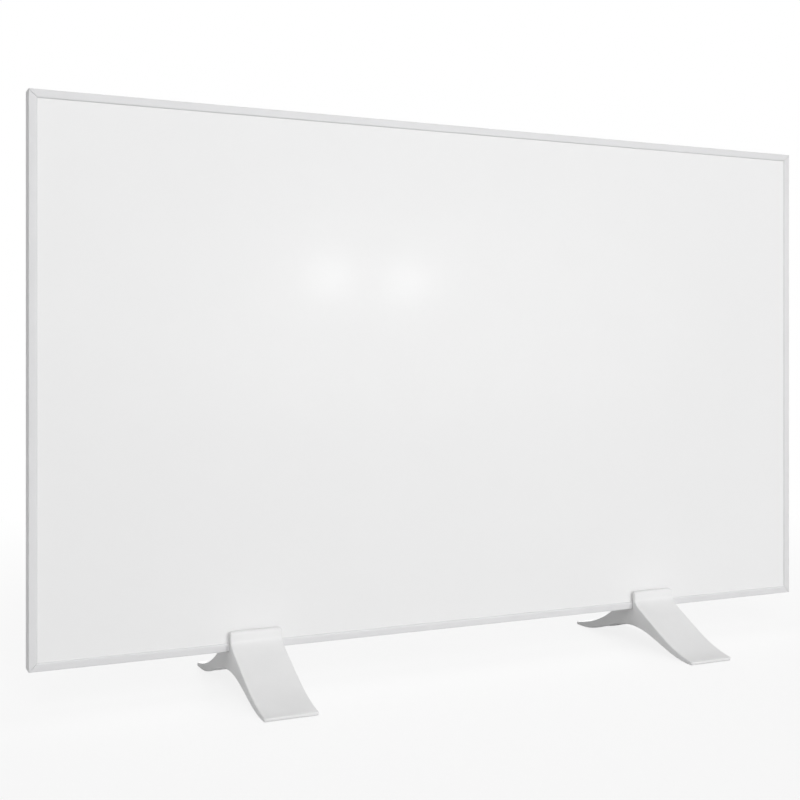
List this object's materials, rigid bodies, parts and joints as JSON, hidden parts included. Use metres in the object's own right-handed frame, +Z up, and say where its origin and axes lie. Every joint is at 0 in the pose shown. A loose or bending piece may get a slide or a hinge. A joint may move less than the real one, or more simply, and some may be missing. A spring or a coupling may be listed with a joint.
{
  "type": "infrared panel heater",
  "caption": "Flat white infrared heating panel in a slim mitred frame, standing on curved moulded feet that grip its bottom rail, with a rear terminal box, rocker switch and keyhole brackets.",
  "frame": {"origin": "on the floor, under the middle of the whole object's box", "axes": "+X along the panel to the right as seen from the room, +Y from the radiating face towards the back, +Z up"},
  "size_m": [1.01, 0.25, 0.646],
  "materials": {
    "front_enamel": "satin",
    "rear_enamel": "satin",
    "frame_coat": "satin",
    "foot_plastic": "satin",
    "box_plastic": "satin",
    "grey_plastic": "satin",
    "black_plastic": "satin",
    "rubber": "matte",
    "zinc_steel": "satin",
    "carbon_film": "matte",
    "copper": "satin",
    "brass": "satin",
    "mica_sheet": "matte",
    "foil": "polished",
    "mineral_wool": "matte",
    "ceramic": "matte",
    "lead_brown": "satin",
    "lead_blue": "satin"
  },
  "bodies": {
    "panel": {"front_plate": "front_enamel", "heating_film": "carbon_film", "busbar_left": "copper", "busbar_right": "copper", "insulating_sheet": "mica_sheet", "reflector_foil": "foil", "insulation_board": "mineral_wool", "rear_plate": "rear_enamel", "frame_bottom": "frame_coat", "frame_top": "frame_coat", "frame_left": "frame_coat", "frame_right": "frame_coat", "corner_key_bottom_left": "zinc_steel", "corner_key_top_left": "zinc_steel", "corner_key_top_right": "zinc_steel", "corner_key_bottom_right": "zinc_steel", "corner_screw_1": "zinc_steel", "corner_screw_2": "zinc_steel", "corner_screw_3": "zinc_steel", "corner_screw_4": "zinc_steel", "corner_screw_5": "zinc_steel", "corner_screw_6": "zinc_steel", "corner_screw_7": "zinc_steel", "corner_screw_8": "zinc_steel", "wall_bracket_bottom_left": "rear_enamel", "wall_bracket_bottom_right": "rear_enamel", "wall_bracket_top_left": "rear_enamel", "wall_bracket_top_right": "rear_enamel", "terminal_box_base": "box_plastic", "terminal_box_cover": "box_plastic", "terminal_block": "ceramic", "earth_stud": "zinc_steel", "earth_nut": "brass", "thermal_cutout_left": "ceramic", "thermal_cutout_right": "ceramic", "lead_left": "lead_brown", "lead_right": "lead_blue", "cover_screw_1": "zinc_steel", "cover_screw_2": "zinc_steel", "cover_screw_3": "zinc_steel", "cover_screw_4": "zinc_steel", "switch_housing": "black_plastic", "gland_body": "grey_plastic", "gland_locknut": "grey_plastic", "gland_nut": "grey_plastic", "gland_seal": "rubber"},
    "left_foot": {"foot_left": "foot_plastic", "threaded_insert_left": "brass", "foot_pad_front_left": "rubber", "foot_pad_rear_left": "rubber"},
    "left_thumb_screw": {"thumb_screw_left": "foot_plastic"},
    "right_foot": {"foot_right": "foot_plastic", "threaded_insert_right": "brass", "foot_pad_front_right": "rubber", "foot_pad_rear_right": "rubber"},
    "right_thumb_screw": {"thumb_screw_right": "foot_plastic"},
    "rocker": {"rocker": "black_plastic"}
  },
  "joints": [
    {"name": "left_foot_slide", "type": "slide", "parent": "panel", "child": "left_foot", "axis": [1, 0, 0], "range_m": [-0.18, 0.2]},
    {"name": "right_foot_slide", "type": "slide", "parent": "panel", "child": "right_foot", "axis": [1, 0, 0], "range_m": [-0.21, 0.17]},
    {"name": "left_thumb_screw_turn", "type": "hinge", "parent": "left_foot", "child": "left_thumb_screw", "pos_m": [-0.262, 0.0203, 0.056], "axis": [0, 1, 0], "range_deg": [0, 360]},
    {"name": "right_thumb_screw_turn", "type": "hinge", "parent": "right_foot", "child": "right_thumb_screw", "pos_m": [0.274, 0.0203, 0.056], "axis": [0, 1, 0], "range_deg": [0, 360]},
    {"name": "rocker_press", "type": "hinge", "parent": "panel", "child": "rocker", "pos_m": [0.03, 0.041, 0.15], "axis": [1, 0, 0], "range_deg": [0, 20]}
  ]
}
